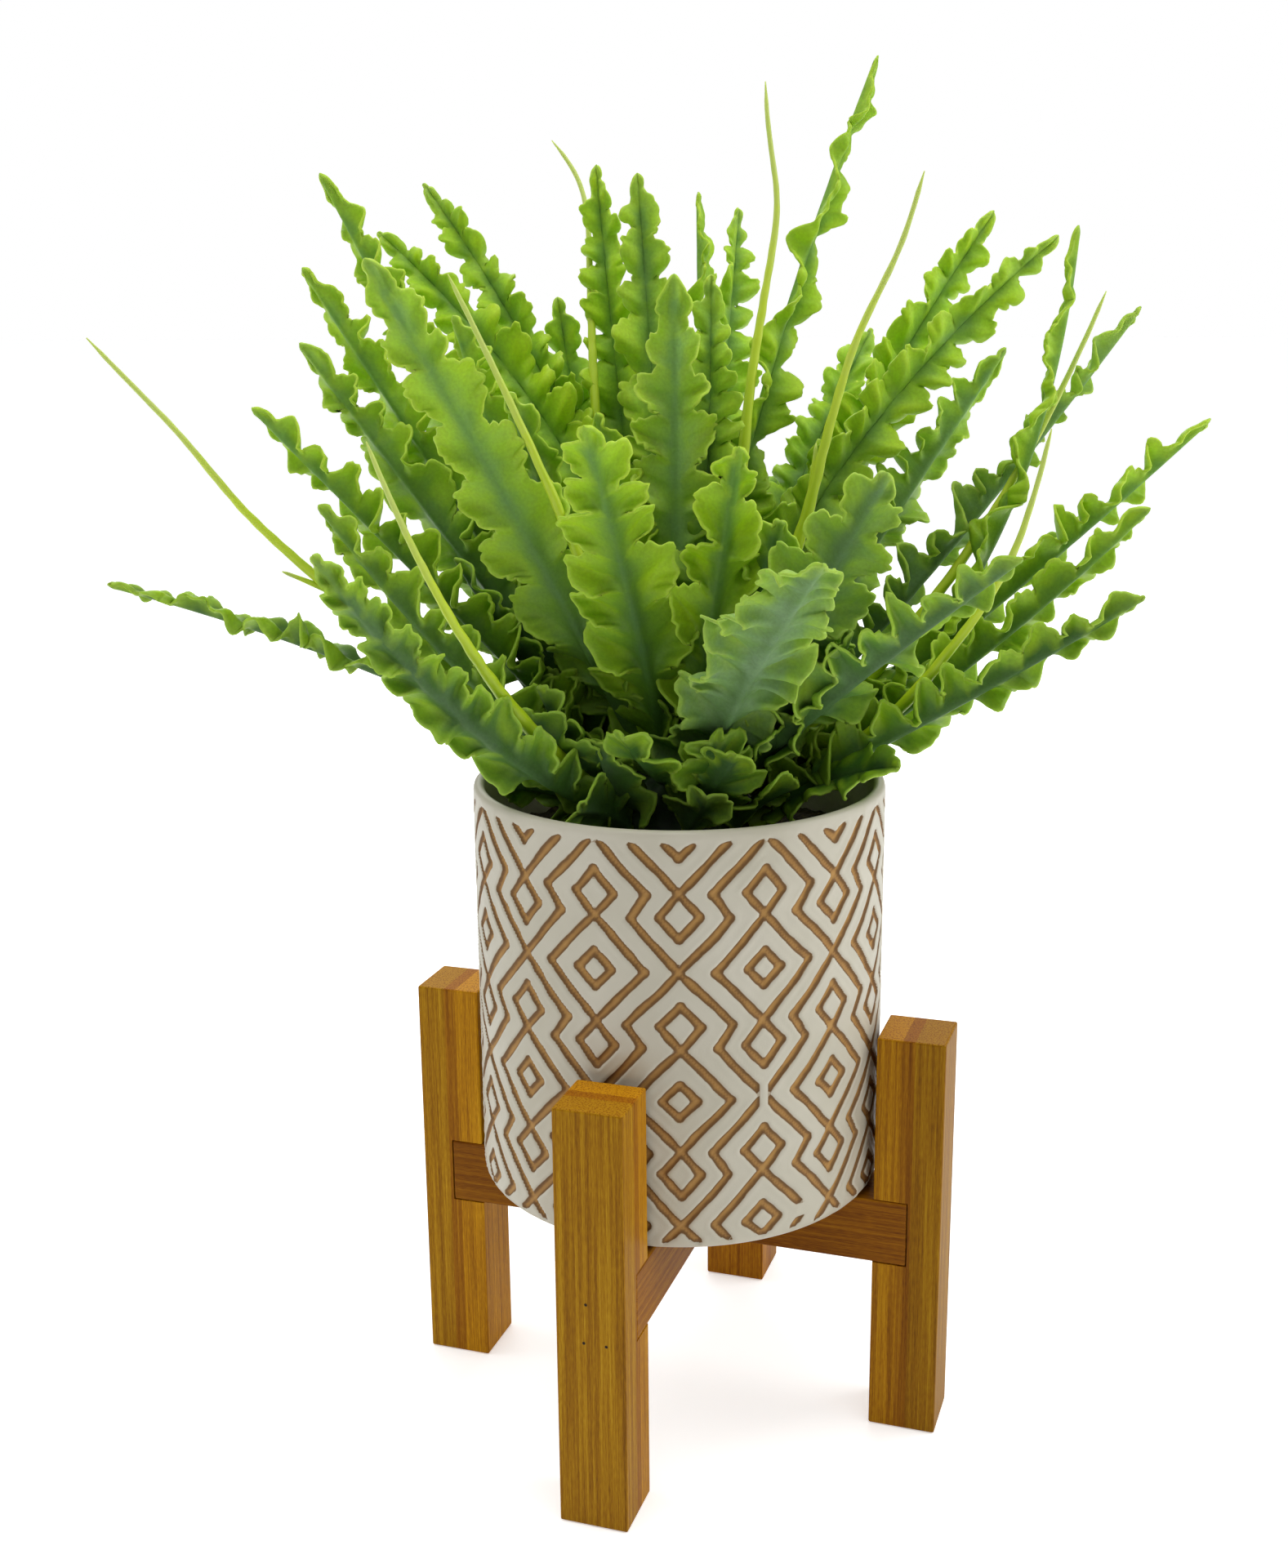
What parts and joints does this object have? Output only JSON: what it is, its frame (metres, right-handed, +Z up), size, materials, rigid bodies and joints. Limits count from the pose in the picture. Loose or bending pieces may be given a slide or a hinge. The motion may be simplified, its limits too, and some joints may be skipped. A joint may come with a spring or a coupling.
{
  "type": "potted fern",
  "caption": "Artificial fern with ruffled strap fronds in a cylindrical ceramic pot carved with diamonds, resting on a four-legged bamboo stand.",
  "frame": {"origin": "on the floor, under the pot's axis, where the stand's two crossbars cross", "axes": "+Z up the pot's axis; +X along one crossbar towards the right leg; -Y along the other towards the front leg"},
  "size_m": [0.356, 0.2598, 0.496],
  "materials": {
    "ceramic": "matt glaze, brown in the carved grooves",
    "bamboo": "satin lacquer over laminated bamboo",
    "filler": "rough, dark brown",
    "crown": "moulded, matt",
    "frond": "moulded, satin, yellow-green edges",
    "shoot": "moulded, satin"
  },
  "bodies": {
    "root": {"pot": "ceramic", "filler": "filler", "crown": "crown", "front_leg": "bamboo", "right_leg": "bamboo", "back_leg": "bamboo", "left_leg": "bamboo", "left_right_bar": "bamboo", "front_back_bar": "bamboo", "frond_01": "frond", "frond_02": "frond", "frond_03": "frond", "frond_04": "frond", "frond_05": "frond", "frond_06": "frond", "frond_07": "frond", "frond_08": "frond", "frond_09": "frond", "frond_10": "frond", "frond_11": "frond", "frond_12": "frond", "frond_13": "frond", "frond_14": "frond", "frond_15": "frond", "frond_16": "frond", "frond_17": "frond", "frond_18": "frond", "frond_19": "frond", "frond_20": "frond", "frond_21": "frond", "frond_22": "frond", "frond_23": "frond", "frond_24": "frond", "frond_25": "frond", "frond_26": "frond", "frond_27": "frond", "frond_28": "frond", "frond_29": "frond", "frond_30": "frond", "frond_31": "frond", "frond_32": "frond", "frond_33": "frond", "frond_34": "frond", "frond_35": "frond", "frond_36": "frond", "frond_37": "frond", "frond_38": "frond", "frond_39": "frond", "frond_40": "frond", "frond_41": "frond", "frond_42": "frond", "frond_43": "frond", "shoot_1": "shoot", "shoot_2": "shoot", "shoot_3": "shoot", "shoot_4": "shoot", "shoot_5": "shoot", "shoot_6": "shoot", "shoot_7": "shoot", "shoot_8": "shoot"}
  },
  "joints": []
}
